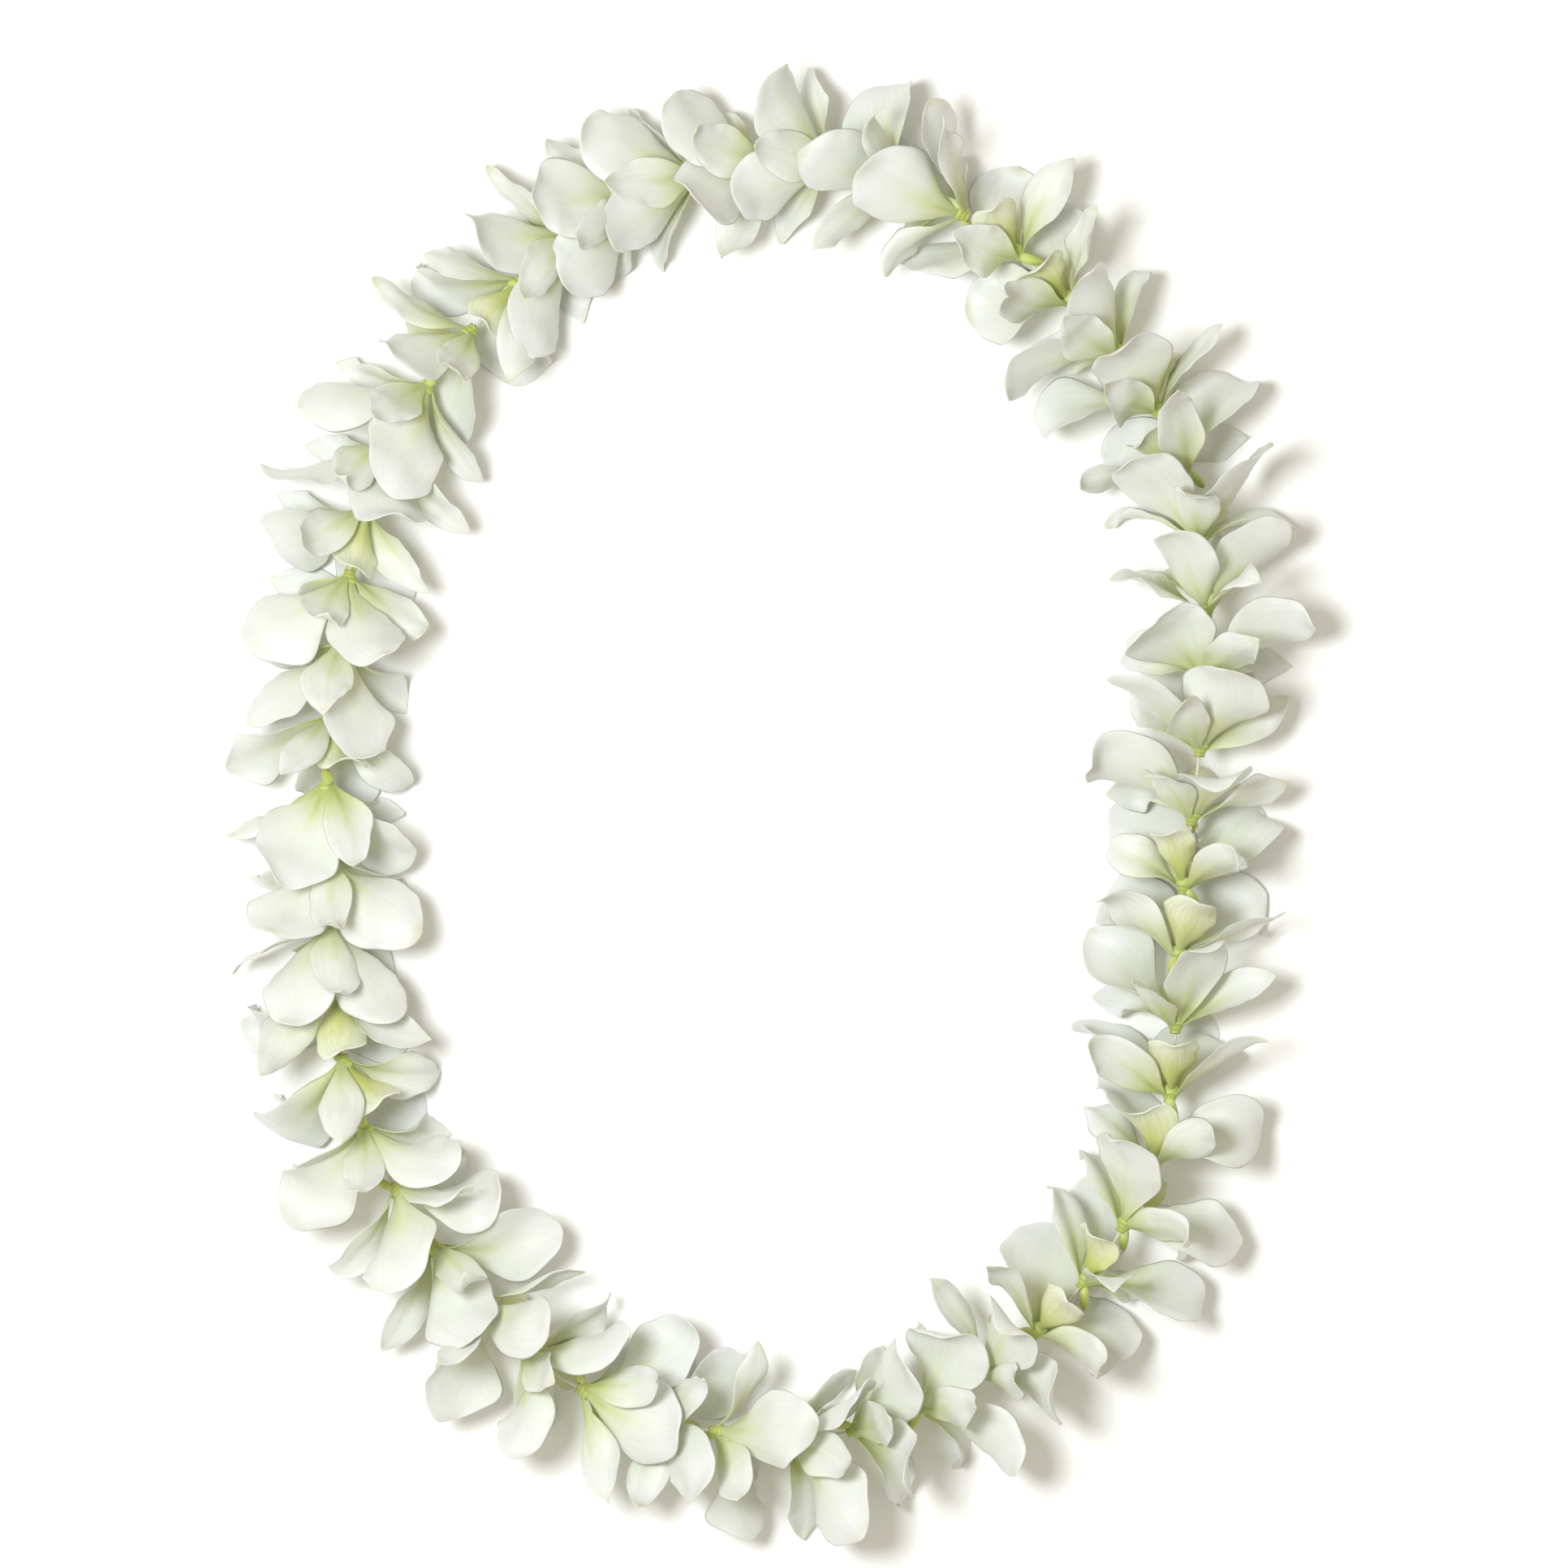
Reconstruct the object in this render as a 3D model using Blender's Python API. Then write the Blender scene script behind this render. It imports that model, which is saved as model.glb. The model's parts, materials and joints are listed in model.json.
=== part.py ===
# Fresh flower lei: white dendrobium orchid blooms threaded one behind another on a tied
# string, lying in an oval loop on a table. Metres, +Z up, the table is at z = 0 and the
# origin lies on it, under the middle of the loop.
import math
import random

import bmesh
import bpy
from mathutils import Matrix, Vector
from mathutils.bvhtree import BVHTree

mm = 0.001
up = Vector((0, 0, 1))

lei = {
    "blooms": 50,
    "stringHeight": 18 * mm,  # above the table
    "stringRadius": 0.5 * mm,
    "stringSides": 3,
    "boreRadius": 0.95 * mm,  # the hole that the needle and string make
    "pointsPerBloom": 2,  # bends of the string from one bloom to the next
    "seed": 7,
}

# The string's route from above, counter-clockwise from the right, in millimetres.
route = [
    (130, 0), (133, 26), (135, 52), (134, 80), (128, 110), (112, 138), (91, 161), (65, 184),
    (34, 199), (-1, 204), (-38, 194), (-66, 176), (-89, 154), (-109, 130), (-123, 103),
    (-130, 76), (-133, 50), (-136, 26), (-137, 0), (-136, -24), (-136, -48), (-132, -76),
    (-124, -101), (-109, -124), (-90, -153), (-63, -176), (-33, -186), (1, -194), (35, -188),
    (67, -172), (93, -150), (112, -123), (122, -98), (125, -72), (125, -48), (127, -24),
]

# How the blooms sit along the loop: the share of the loop from the first bloom, the angles
# from the bloom's axis that its petals reach at half length and at the tip, and the lean of
# that axis up from the table and in towards the middle, in degrees.
habit = [
    (0.00, 58, 108, 0, 0), (0.05, 60, 100, 4, -6), (0.11, 60, 98, 4, 4), (0.17, 58, 92, 4, 0),
    (0.22, 54, 80, 2, 0), (0.27, 50, 76, 0, -4), (0.33, 50, 78, 0, -6), (0.39, 52, 80, 0, -8),
    (0.44, 54, 78, 0, -8), (0.50, 56, 82, -2, -8), (0.56, 58, 94, 0, -4), (0.62, 62, 98, 2, 0),
    (0.67, 62, 92, 10, 0), (0.73, 64, 92, 10, 0), (0.79, 64, 94, 12, 2), (0.85, 64, 98, 12, 2),
    (0.89, 60, 112, 6, 0), (0.93, 58, 122, 0, 0), (0.97, 58, 118, 0, 0),
]

# The parts of one bloom. Each stands at these angles round the axis, with 90 at the top. Rows
# run along a blade and panels across it. Roll is how far round each edge is bent, in degrees.
# A blade widens from its claw as a wedge, and a larger wedge figure keeps it slim for longer.
sepal = {
    "around": (90, 208, 332),
    "length": 33 * mm, "width": 16.5 * mm, "claw": 0.15, "wedge": 1.7, "widest": 0.45, "point": 0.95,
    "start": 50, "roll": 34, "rows": 3, "panels": 2, "seat": -0.8 * mm, "back": 8,
}
petal = {
    "around": (36, 144),
    "length": 36 * mm, "width": 28.5 * mm, "claw": 0.11, "wedge": 1.8, "widest": 0.58, "point": 0.68,
    "start": 38, "roll": 38, "rows": 4, "panels": 2, "seat": 0.2 * mm, "back": -4,
}
lip = {
    "around": (270,), "half": 44, "tip": 92, "wild": 0.5,
    "length": 20 * mm, "width": 20 * mm, "claw": 0.12, "wedge": 1.8, "widest": 0.62, "point": 0.50,
    "start": 36, "roll": 78, "rows": 3, "panels": 2, "seat": 0.8 * mm, "back": 0,
}
unroll = 0.55  # share of its roll that a blade loses by its tip
waveLag = 1.7  # how far a blade's wave runs ahead at its edge, in radians
bladeThickness = 0.9 * mm
testThickness = 1.5 * mm  # blades this thick must still clear the bloom behind
rootRadius = 1.9 * mm  # where a blade starts, from the string, inside the base
base = {"radius": 3.0 * mm, "stalk": 1.7 * mm, "back": -3.2 * mm, "middle": 0.2 * mm,
        "front": 3.2 * mm, "sides": 5}
table = {  # how a blade that meets the table bends and lies on it
    "layer": 0.42 * mm, "soft": 3 * mm, "aim": -1.8 * mm, "reach": 7 * mm, "flatten": 6 * mm,
    "snap": 0.46 * mm, "splay": 18, "level": 0.25,
}
knot = {
    "radius": 1.4 * mm, "tail": 7 * mm, "tailRadius": 0.5 * mm, "tailSides": 4,
    "ways": [(0.7, 0.5, -0.25), (-0.6, 0.65, -0.35)],
}
scatter = {  # how far blooms and their blades differ, either way or between two values
    "spin": 34, "tilt": 9, "half": 6, "tip": 10, "upsideDown": 0.22, "around": 8, "size": 0.10,
    "open": 9, "flare": 48, "twist": 60, "sway": 28, "roll": 0.5, "rolls": (1, 1, 1, -0.5),
    "droop": (0.4, 1.6), "hood": (10, 34), "wave": (0.5 * mm, 2.2 * mm), "waves": (0.8, 1.8),
}
wildest, tries, mostSetbacks = 1.25, 60, 12
clearOfString = 0.45 * mm
routeSteps, centreSteps = 12, 24
solver = "MANIFOLD"


def blendAlong(keys, share):
    """Values of a looped table of keys at one share of the loop."""
    following = next((k for k in keys if k[0] > share), None)
    after = following or (keys[0][0] + 1, *keys[0][1:])
    before = keys[(keys.index(following) if following else len(keys)) - 1]
    t = (share - before[0]) / (after[0] - before[0])
    return [a + (b - a) * t for a, b in zip(before[1:], after[1:])]


def loopPoints(count):
    """Points evenly spaced along a closed smooth curve that rounds off the route."""
    ring = [Vector((x * mm, y * mm, lei["stringHeight"])) for x, y in route]
    fine = []
    for i in range(len(ring)):
        a, b, c, d = (ring[(i + k) % len(ring)] for k in (-1, 0, 1, 2))
        for j in range(routeSteps):
            t = j / routeSteps
            fine.append(((1 - t) ** 3 * a + (3 * t**3 - 6 * t**2 + 4) * b
                         + (-3 * t**3 + 3 * t**2 + 3 * t + 1) * c + t**3 * d) / 6)
    gaps = [(fine[(i + 1) % len(fine)] - p).length for i, p in enumerate(fine)]
    spacing, points, travelled, i = sum(gaps) / count, [], 0.0, 0
    for k in range(count):
        while travelled + gaps[i] < k * spacing:
            travelled += gaps[i]
            i += 1
        t = (k * spacing - travelled) / gaps[i]
        points.append(fine[i].lerp(fine[(i + 1) % len(fine)], t))
    return points


def seatFrame(points, index):
    """A bloom's place on the string: X out of the loop, Y along the string, Z up."""
    here = points[index]
    ahead = (points[(index + 1) % len(points)] - points[index - 1]).normalized()
    out = ahead.cross(up)
    frame = Matrix((out, ahead, up)).transposed().to_4x4()
    return Matrix.Translation(here) @ frame


def halfWidth(kind, u):
    """Share of a blade's full half width at u along it."""
    swell = math.sin(min(1.0, u / kind["widest"]) * math.pi / 2) ** kind["wedge"]
    width = kind["claw"] + (1 - kind["claw"]) * swell
    if u > kind["widest"]:
        width *= max(0.0, 1 - ((u - kind["widest"]) / (1 - kind["widest"])) ** 2) ** kind["point"]
    return width


def centreLine(bloom, blade):
    """Points and directions along the middle of a blade that bends out from the axis and
    lies down along the table where it meets it."""
    kind, step = blade["kind"], blade["length"] / centreSteps
    around = math.radians(blade["around"])
    radial = Vector((math.cos(around), 0, math.sin(around)))
    side = Vector((-math.sin(around), 0, math.cos(around)))
    angle = math.radians(kind["start"])
    turn = bloom["face"].to_3x3()
    height = (turn @ radial).z
    hood = (blade["hood"] if height > 0 else -table["splay"]) * height * height
    along = turn @ (Vector((0, math.cos(angle), 0)) + radial * math.sin(angle))
    face = turn @ (Vector((0, math.sin(angle), 0)) - radial * math.cos(angle))
    side = turn @ side
    flat = bloom["frame"].to_3x3().transposed() @ (turn @ radial)
    flat.y = 0
    place = bloom["frame"] @ (flat.normalized() * rootRadius + Vector((0, kind["seat"], 0)))
    line = [(place.copy(), along.copy(), side.copy(), face.copy())]
    for i in range(centreSteps):
        u = (i + 0.5) / centreSteps
        # Over the steps this adds up to the opening, and then to the flare.
        bend = (blade["open"] - hood) * 2 if u < 0.5 else blade["flare"] * 8 * (u - 0.5)
        bend = bend / centreSteps
        spin = Matrix.Rotation(-math.radians(bend), 3, side)
        spin = Matrix.Rotation(math.radians(blade["twist"] / centreSteps), 3, along) @ spin
        spin = Matrix.Rotation(math.radians(blade["sway"] / centreSteps), 3, face) @ spin
        along, side, face = spin @ along, spin @ side, spin @ face
        steepest = -max(0.0, place.z - table["aim"]) / table["reach"]
        if along.z < steepest:
            level = along.cross(up).normalized()
            lift = math.asin(max(-1.0, steepest)) - math.asin(max(-1.0, along.z))
            spin = Matrix.Rotation(lift, 3, level)
            along, side, face = spin @ along, spin @ side, spin @ face
        share = max(1 - place.z / table["flatten"], 0) * table["level"]
        share += blade["droop"] / centreSteps
        spin = Matrix.Rotation(math.asin(side.z) * share * (1 if face.z > 0 else -1), 3, along)
        side, face = spin @ side, spin @ face
        place = place + along * step
        line.append((place.copy(), along.copy(), side.copy(), face.copy()))
    return line


def bladePoint(line, blade, u, v):
    """A point of a blade's middle layer, u along it and v from -1 to 1 across, and its normal."""
    kind = blade["kind"]
    at = min(u * centreSteps, centreSteps - 1e-6)
    i, t = int(at), at - int(at)
    place, _, side, face = (line[i][k].lerp(line[i + 1][k], t) for k in range(4))
    half = blade["width"] / 2 * halfWidth(kind, u)
    roll = math.radians(blade["roll"]) * (1 - unroll * u)
    across, rise = math.sin(v * roll) / roll * half, (1 - math.cos(v * roll)) / roll * half
    wave = blade["wave"] * math.sin(math.tau * blade["waves"] * u + blade["phase"] + waveLag * v)
    rise += wave * abs(v) ** 2 * math.sin(math.pi * u)
    normal = (face * math.cos(v * roll) - side * math.sin(v * roll)).normalized()
    point = place + side * across + face * rise
    if point.z < table["soft"]:
        room = table["soft"] - table["layer"]
        rise = max(0.0, point.z - table["soft"] + 2 * room)
        point.z = table["layer"] + rise * rise / (4 * room)
    return point, normal


def addBlade(bm, bloom, blade, thickness=bladeThickness):
    """A thin closed blade: one grid for each face, split alike, sharing their rim."""
    line, rows, panels = centreLine(bloom, blade), blade["kind"]["rows"], blade["kind"]["panels"]
    for sign in (1, -1):
        grid = bmesh.ops.create_grid(bm, x_segments=panels, y_segments=rows, size=1)["verts"]
        faces = list({f for vert in grid for f in vert.link_faces})
        bmesh.ops.triangulate(bm, faces=faces)
        for vert in grid:
            v, u = vert.co.x, (vert.co.y + 1) / 2
            point, normal = bladePoint(line, blade, u, v)
            inner = abs(v) < 0.999 and u < 0.999
            point += normal * (sign * thickness / 2 if inner else 0)
            vert.co = (point.x, point.y, point.z if point.z > table["snap"] else 0.0)


def drawBlade(kind, around, half, tip, wild, draw):
    """One blade with its own length, bend, twist and waved rim. Wild scales what varies."""
    vary = lambda name: draw.uniform(-scatter[name], scatter[name]) * wild
    between = lambda name: draw.uniform(*scatter[name])
    return {
        "kind": kind,
        "around": around + vary("around"),
        "length": kind["length"] * (1 + vary("size")),
        "width": kind["width"] * (1 + vary("size")),
        "open": half + kind["back"] - kind["start"] + vary("open"),
        "flare": tip - half + vary("flare"),
        "twist": vary("twist"),
        "droop": between("droop"),
        "hood": between("hood") * wild,
        "sway": vary("sway"),
        "roll": kind["roll"] * (1 + vary("roll")) * draw.choice(scatter["rolls"]),
        "wave": between("wave") * wild,
        "waves": between("waves"),
        "phase": draw.uniform(0, math.tau),
    }


def drawBloom(frame, half, tip, lean, turnIn, wild, draw):
    """The frame and blades of one bloom."""
    vary = lambda name: draw.uniform(-scatter[name], scatter[name]) * wild
    roll = vary("spin") + (180 if draw.random() < scatter["upsideDown"] else 0)
    face = (frame @ Matrix.Rotation(math.radians(turnIn + vary("tilt")), 4, "Z")
            @ Matrix.Rotation(math.radians(lean + vary("tilt")), 4, "X")
            @ Matrix.Rotation(math.radians(roll), 4, "Y"))
    half, tip = half + vary("half"), tip + vary("tip")
    blades = [drawBlade(kind, around, half, tip, wild, draw)
              for kind in (sepal, petal) for around in kind["around"]]
    blades += [drawBlade(lip, around, lip["half"], lip["tip"], wild * lip["wild"], draw)
               for around in lip["around"]]
    return {"frame": frame, "face": face, "blades": blades}


def addBase(bm, bloom):
    """The green end of the flower stalk that carries the petals, with the string's hole."""
    others = set(bm.verts)
    profile = [(base["back"], lei["boreRadius"]), (base["back"], base["stalk"]),
               (base["middle"], base["radius"]), (base["front"], lei["boreRadius"])]
    ring = [bm.verts.new((radius, y, 0)) for y, radius in profile]
    edges = [bm.edges.new((ring[k - 1], ring[k])) for k in range(len(ring))]
    bmesh.ops.spin(bm, geom=ring + edges, axis=(0, 1, 0), cent=(0, 0, 0), angle=math.tau,
                   steps=base["sides"], use_merge=True)
    bmesh.ops.transform(bm, matrix=bloom["frame"], verts=[v for v in bm.verts if v not in others])


def searchTree(bloom, blades, thickness, clearOfRoot=0):
    """A search tree over the coarse faces of some of a bloom's blades."""
    bm = bmesh.new()
    for blade in blades:
        addBlade(bm, bloom, blade, thickness)
    centre = bloom["frame"].translation
    near = [v for v in bm.verts if (v.co - centre).length < clearOfRoot]
    bmesh.ops.delete(bm, geom=near, context="VERTS")
    if not clearOfRoot:
        addBase(bm, bloom)
    tree = BVHTree.FromBMesh(bm)
    bm.free()
    return tree


def crossesItself(bloom):
    trees = [searchTree(bloom, [blade], bladeThickness, 7 * mm) for blade in bloom["blades"]]
    return any(a.overlap(b) for i, a in enumerate(trees) for b in trees[:i])


def tube(bm, points, radius, sides, closed):
    """A tube along points, mitred at each bend."""
    rings = []
    for i, here in enumerate(points):
        before = points[i - 1] if closed or i else here
        after = points[(i + 1) % len(points)] if closed or i < len(points) - 1 else here
        ahead = (after - before).normalized()
        out = ahead.cross(up).normalized()
        rise = out.cross(ahead)
        rings.append([bm.verts.new(here + radius * (math.cos(a) * out + math.sin(a) * rise))
                      for a in (math.tau * k / sides for k in range(sides))])
    pairs = list(zip(rings, rings[1:] + rings[:1])) if closed else list(zip(rings, rings[1:]))
    for low, high in pairs:
        for k in range(sides):
            bm.faces.new((low[k], low[(k + 1) % sides], high[(k + 1) % sides], high[k]))
    if not closed:
        bm.faces.new(rings[0])
        bm.faces.new(rings[-1])


def knotPieces(points, grow):
    """The knot and its tails, halfway from the last bloom to the first, as fill functions."""
    seat = seatFrame(points, len(points) - 1)
    ball = lambda bm: bmesh.ops.create_icosphere(
        bm, subdivisions=1, radius=knot["radius"] + grow, matrix=seat)
    pieces = [ball]
    for way in knot["ways"]:
        turn = Vector(way).to_track_quat("Z", "Y").to_matrix().to_4x4()
        place = seat @ turn @ Matrix.Translation((0, 0, knot["tail"] / 2))
        pieces.append(lambda bm, place=place: bmesh.ops.create_cone(
            bm, cap_ends=True, segments=knot["tailSides"], radius1=knot["tailRadius"] + grow,
            radius2=knot["tailRadius"] + grow, depth=knot["tail"], matrix=place))
    return pieces


def planBlooms(points):
    """Draws the blooms in turn round the loop. One that would cross the string or those
    behind it is drawn again, a little tamer each time, and where none fits the last two
    are taken off and drawn afresh."""
    draw, blooms, trees = random.Random(lei["seed"]), [], []
    count, setbacks = lei["blooms"], 0
    bm = bmesh.new()
    tube(bm, points, lei["boreRadius"], lei["stringSides"], True)
    for addPiece in knotPieces(points, clearOfString):
        addPiece(bm)
    string = BVHTree.FromBMesh(bm)
    bm.free()
    while len(blooms) < count:
        i = len(blooms)
        half, tip, lean, turnIn = blendAlong(habit, i / count)
        frame = seatFrame(points, i * lei["pointsPerBloom"])
        for attempt in range(tries):
            wild = wildest - attempt / tries
            bloom = drawBloom(frame, half, tip, lean, turnIn, wild, draw)
            tree = searchTree(bloom, bloom["blades"], testThickness)
            near = trees[-2:] + (trees[:2] if i >= count - 2 else [])
            if any(tree.overlap(other) for other in near) or crossesItself(bloom):
                continue
            if not searchTree(bloom, bloom["blades"], bladeThickness, 0.1 * mm).overlap(string):
                blooms.append(bloom)
                trees.append(tree)
                break
        else:
            setbacks += 1
            del blooms[-2:], trees[-2:]
            if setbacks > mostSetbacks:
                raise SystemExit("the blooms don't fit on the string")
    return blooms


def closeUp(bm):
    """Welds a shape's seams, fills its open end and turns its faces outwards."""
    bmesh.ops.remove_doubles(bm, verts=bm.verts, dist=0.001 * mm)
    bmesh.ops.holes_fill(bm, edges=[e for e in bm.edges if e.is_boundary], sides=0)
    bmesh.ops.triangulate(bm, faces=[f for f in bm.faces if len(f.verts) > 3])
    bmesh.ops.recalc_face_normals(bm, faces=bm.faces)


def makeObject(name, fill):
    """An object whose mesh the fill function builds."""
    bm = bmesh.new()
    fill(bm)
    closeUp(bm)
    mesh = bpy.data.meshes.new(name)
    bm.to_mesh(mesh)
    bm.free()
    item = bpy.data.objects.new(name, mesh)
    bpy.context.scene.collection.objects.link(item)
    return item


def joinTo(item, others):
    """Joins others to item in one closed body, and removes them."""
    group = bpy.data.collections.new("joined")
    bpy.context.scene.collection.children.link(group)
    for other in others:
        group.objects.link(other)
    union = item.modifiers.new("join", "BOOLEAN")
    union.operand_type, union.collection = "COLLECTION", group
    union.operation, union.solver = "UNION", solver
    whole = item.evaluated_get(bpy.context.evaluated_depsgraph_get())
    shape = bpy.data.meshes.new_from_object(whole)
    item.modifiers.clear()
    item.data = shape
    for other in others:
        bpy.data.objects.remove(other)
    bpy.data.collections.remove(group)


def material(name, colour, roughness):
    look = bpy.data.materials.new(name)
    look.use_nodes = True
    shader = look.node_tree.nodes["Principled BSDF"]
    shader.inputs["Base Color"].default_value = (*colour, 1)
    shader.inputs["Roughness"].default_value = roughness
    return look


def buildBloom(number, bloom, look):
    """One bloom: base, sepals, petals and lip grown together."""
    item = makeObject(f"bloom_{number:02d}", lambda bm: addBase(bm, bloom))
    joinTo(item, [makeObject("blade", lambda bm: addBlade(bm, bloom, blade))
                  for blade in bloom["blades"]])
    item.data.materials.clear()
    item.data.materials.append(look)
    return item


def buildString(points, look):
    """The closed string with its knot and two cut tails."""
    item = makeObject("string", lambda bm: tube(
        bm, points, lei["stringRadius"], lei["stringSides"], True))
    joinTo(item, [makeObject("knot", piece) for piece in knotPieces(points, 0)])
    item.data.materials.clear()
    item.data.materials.append(look)
    return item


def clearScene():
    for item in list(bpy.data.objects):
        bpy.data.objects.remove(item)


def main():
    clearScene()
    points = loopPoints(lei["blooms"] * lei["pointsPerBloom"])
    blooms = planBlooms(points)
    white = material("orchid petal", (0.80, 0.82, 0.66), 0.5)
    cotton = material("cotton string", (0.72, 0.70, 0.60), 0.8)
    items = [buildBloom(i + 1, bloom, white) for i, bloom in enumerate(blooms)]
    items.append(buildString(points, cotton))
    corners = [v.co for item in items for v in item.data.vertices]
    middle = [(max(c[k] for c in corners) + min(c[k] for c in corners)) / 2 for k in (0, 1)]
    for item in items:
        item.data.transform(Matrix.Translation((-middle[0], -middle[1], 0)))


main()
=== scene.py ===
# Fresh flower lei: white dendrobium orchid blooms threaded one behind another on a tied
# string, lying in an oval loop on a pale table. The blooms are drawn by the same rules as
# the part's solids, from the same seed, then built with finer and thinner petals.
import json
import math
import random

import bmesh
import bpy
from mathutils import Matrix, Vector, noise
from mathutils.bvhtree import BVHTree

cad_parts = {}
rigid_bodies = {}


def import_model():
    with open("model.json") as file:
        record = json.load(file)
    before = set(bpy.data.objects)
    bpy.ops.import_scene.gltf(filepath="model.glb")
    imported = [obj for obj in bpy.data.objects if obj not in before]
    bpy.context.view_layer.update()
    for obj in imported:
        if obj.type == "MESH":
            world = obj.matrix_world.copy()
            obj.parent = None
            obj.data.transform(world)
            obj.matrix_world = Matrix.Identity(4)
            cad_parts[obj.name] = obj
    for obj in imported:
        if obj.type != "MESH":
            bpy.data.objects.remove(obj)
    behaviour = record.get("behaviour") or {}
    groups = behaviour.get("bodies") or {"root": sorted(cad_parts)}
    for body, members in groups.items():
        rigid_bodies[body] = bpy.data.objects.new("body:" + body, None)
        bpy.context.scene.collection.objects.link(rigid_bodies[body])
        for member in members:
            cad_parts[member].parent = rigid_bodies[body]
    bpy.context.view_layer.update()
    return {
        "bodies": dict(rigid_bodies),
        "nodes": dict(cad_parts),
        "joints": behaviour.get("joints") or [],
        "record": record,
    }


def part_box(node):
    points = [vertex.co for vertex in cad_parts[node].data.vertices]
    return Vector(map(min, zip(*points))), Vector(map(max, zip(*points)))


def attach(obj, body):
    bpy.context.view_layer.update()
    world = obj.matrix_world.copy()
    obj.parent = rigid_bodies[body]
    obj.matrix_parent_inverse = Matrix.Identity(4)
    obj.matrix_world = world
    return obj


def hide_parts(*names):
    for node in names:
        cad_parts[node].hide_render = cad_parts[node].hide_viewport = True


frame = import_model()
print("frame loaded")

mm = 0.001
up = Vector((0, 0, 1))

lei = {
    "blooms": 50,
    "stringHeight": 18 * mm,  # above the table
    "stringRadius": 0.5 * mm,
    "stringSides": 3,
    "boreRadius": 0.95 * mm,  # the hole that the needle and string make
    "pointsPerBloom": 2,  # bends of the string from one bloom to the next
    "seed": 7,
}

# The string's route from above, counter-clockwise from the right, in millimetres.
route = [
    (130, 0), (133, 26), (135, 52), (134, 80), (128, 110), (112, 138), (91, 161), (65, 184),
    (34, 199), (-1, 204), (-38, 194), (-66, 176), (-89, 154), (-109, 130), (-123, 103),
    (-130, 76), (-133, 50), (-136, 26), (-137, 0), (-136, -24), (-136, -48), (-132, -76),
    (-124, -101), (-109, -124), (-90, -153), (-63, -176), (-33, -186), (1, -194), (35, -188),
    (67, -172), (93, -150), (112, -123), (122, -98), (125, -72), (125, -48), (127, -24),
]

# How the blooms sit along the loop: the share of the loop from the first bloom, the angles
# from the bloom's axis that its petals reach at half length and at the tip, and the lean of
# that axis up from the table and in towards the middle, in degrees.
habit = [
    (0.00, 58, 108, 0, 0), (0.05, 60, 100, 4, -6), (0.11, 60, 98, 4, 4), (0.17, 58, 92, 4, 0),
    (0.22, 54, 80, 2, 0), (0.27, 50, 76, 0, -4), (0.33, 50, 78, 0, -6), (0.39, 52, 80, 0, -8),
    (0.44, 54, 78, 0, -8), (0.50, 56, 82, -2, -8), (0.56, 58, 94, 0, -4), (0.62, 62, 98, 2, 0),
    (0.67, 62, 92, 10, 0), (0.73, 64, 92, 10, 0), (0.79, 64, 94, 12, 2), (0.85, 64, 98, 12, 2),
    (0.89, 60, 112, 6, 0), (0.93, 58, 122, 0, 0), (0.97, 58, 118, 0, 0),
]

# The parts of one bloom. Each stands at these angles round the axis, with 90 at the top. Rows
# run along a blade and panels across it. Roll is how far round each edge is bent, in degrees.
# A blade widens from its claw as a wedge, and a larger wedge figure keeps it slim for longer.
sepal = {
    "name": "sepal",
    "around": (90, 208, 332),
    "length": 33 * mm, "width": 16.5 * mm, "claw": 0.15, "wedge": 1.7, "widest": 0.45, "point": 0.95,
    "start": 50, "roll": 34, "rows": 3, "panels": 2, "seat": -0.8 * mm, "back": 8,
}
petal = {
    "name": "petal",
    "around": (36, 144),
    "length": 36 * mm, "width": 28.5 * mm, "claw": 0.11, "wedge": 1.8, "widest": 0.58, "point": 0.68,
    "start": 38, "roll": 38, "rows": 4, "panels": 2, "seat": 0.2 * mm, "back": -4,
}
lip = {
    "name": "lip",
    "around": (270,), "half": 44, "tip": 92, "wild": 0.5,
    "length": 20 * mm, "width": 20 * mm, "claw": 0.12, "wedge": 1.8, "widest": 0.62, "point": 0.50,
    "start": 36, "roll": 78, "rows": 3, "panels": 2, "seat": 0.8 * mm, "back": 0,
}
unroll = 0.55  # share of its roll that a blade loses by its tip
waveLag = 1.7  # how far a blade's wave runs ahead at its edge, in radians
bladeThickness = 0.9 * mm
testThickness = 1.5 * mm  # blades this thick must still clear the bloom behind
rootRadius = 1.9 * mm  # where a blade starts, from the string, inside the base
base = {"radius": 3.0 * mm, "stalk": 1.7 * mm, "back": -3.2 * mm, "middle": 0.2 * mm,
        "front": 3.2 * mm, "sides": 5}
table = {  # how a blade that meets the table bends and lies on it
    "layer": 0.42 * mm, "soft": 3 * mm, "aim": -1.8 * mm, "reach": 7 * mm, "flatten": 6 * mm,
    "snap": 0.46 * mm, "splay": 18, "level": 0.25,
}
knot = {
    "radius": 1.4 * mm, "tail": 7 * mm, "tailRadius": 0.5 * mm, "tailSides": 4,
    "ways": [(0.7, 0.5, -0.25), (-0.6, 0.65, -0.35)],
}
scatter = {  # how far blooms and their blades differ, either way or between two values
    "spin": 34, "tilt": 9, "half": 6, "tip": 10, "upsideDown": 0.22, "around": 8, "size": 0.10,
    "open": 9, "flare": 48, "twist": 60, "sway": 28, "roll": 0.5, "rolls": (1, 1, 1, -0.5),
    "droop": (0.4, 1.6), "hood": (10, 34), "wave": (0.5 * mm, 2.2 * mm), "waves": (0.8, 1.8),
}
wildest, tries, mostSetbacks = 1.25, 60, 12
clearOfString = 0.45 * mm
rootReach = 7 * mm  # nearer the string than this, the blades of one bloom may meet
bladesOnly = 0.1 * mm  # a reach that leaves out the stalk end and none of the blades
routeSteps, centreSteps = 12, 24


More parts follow.
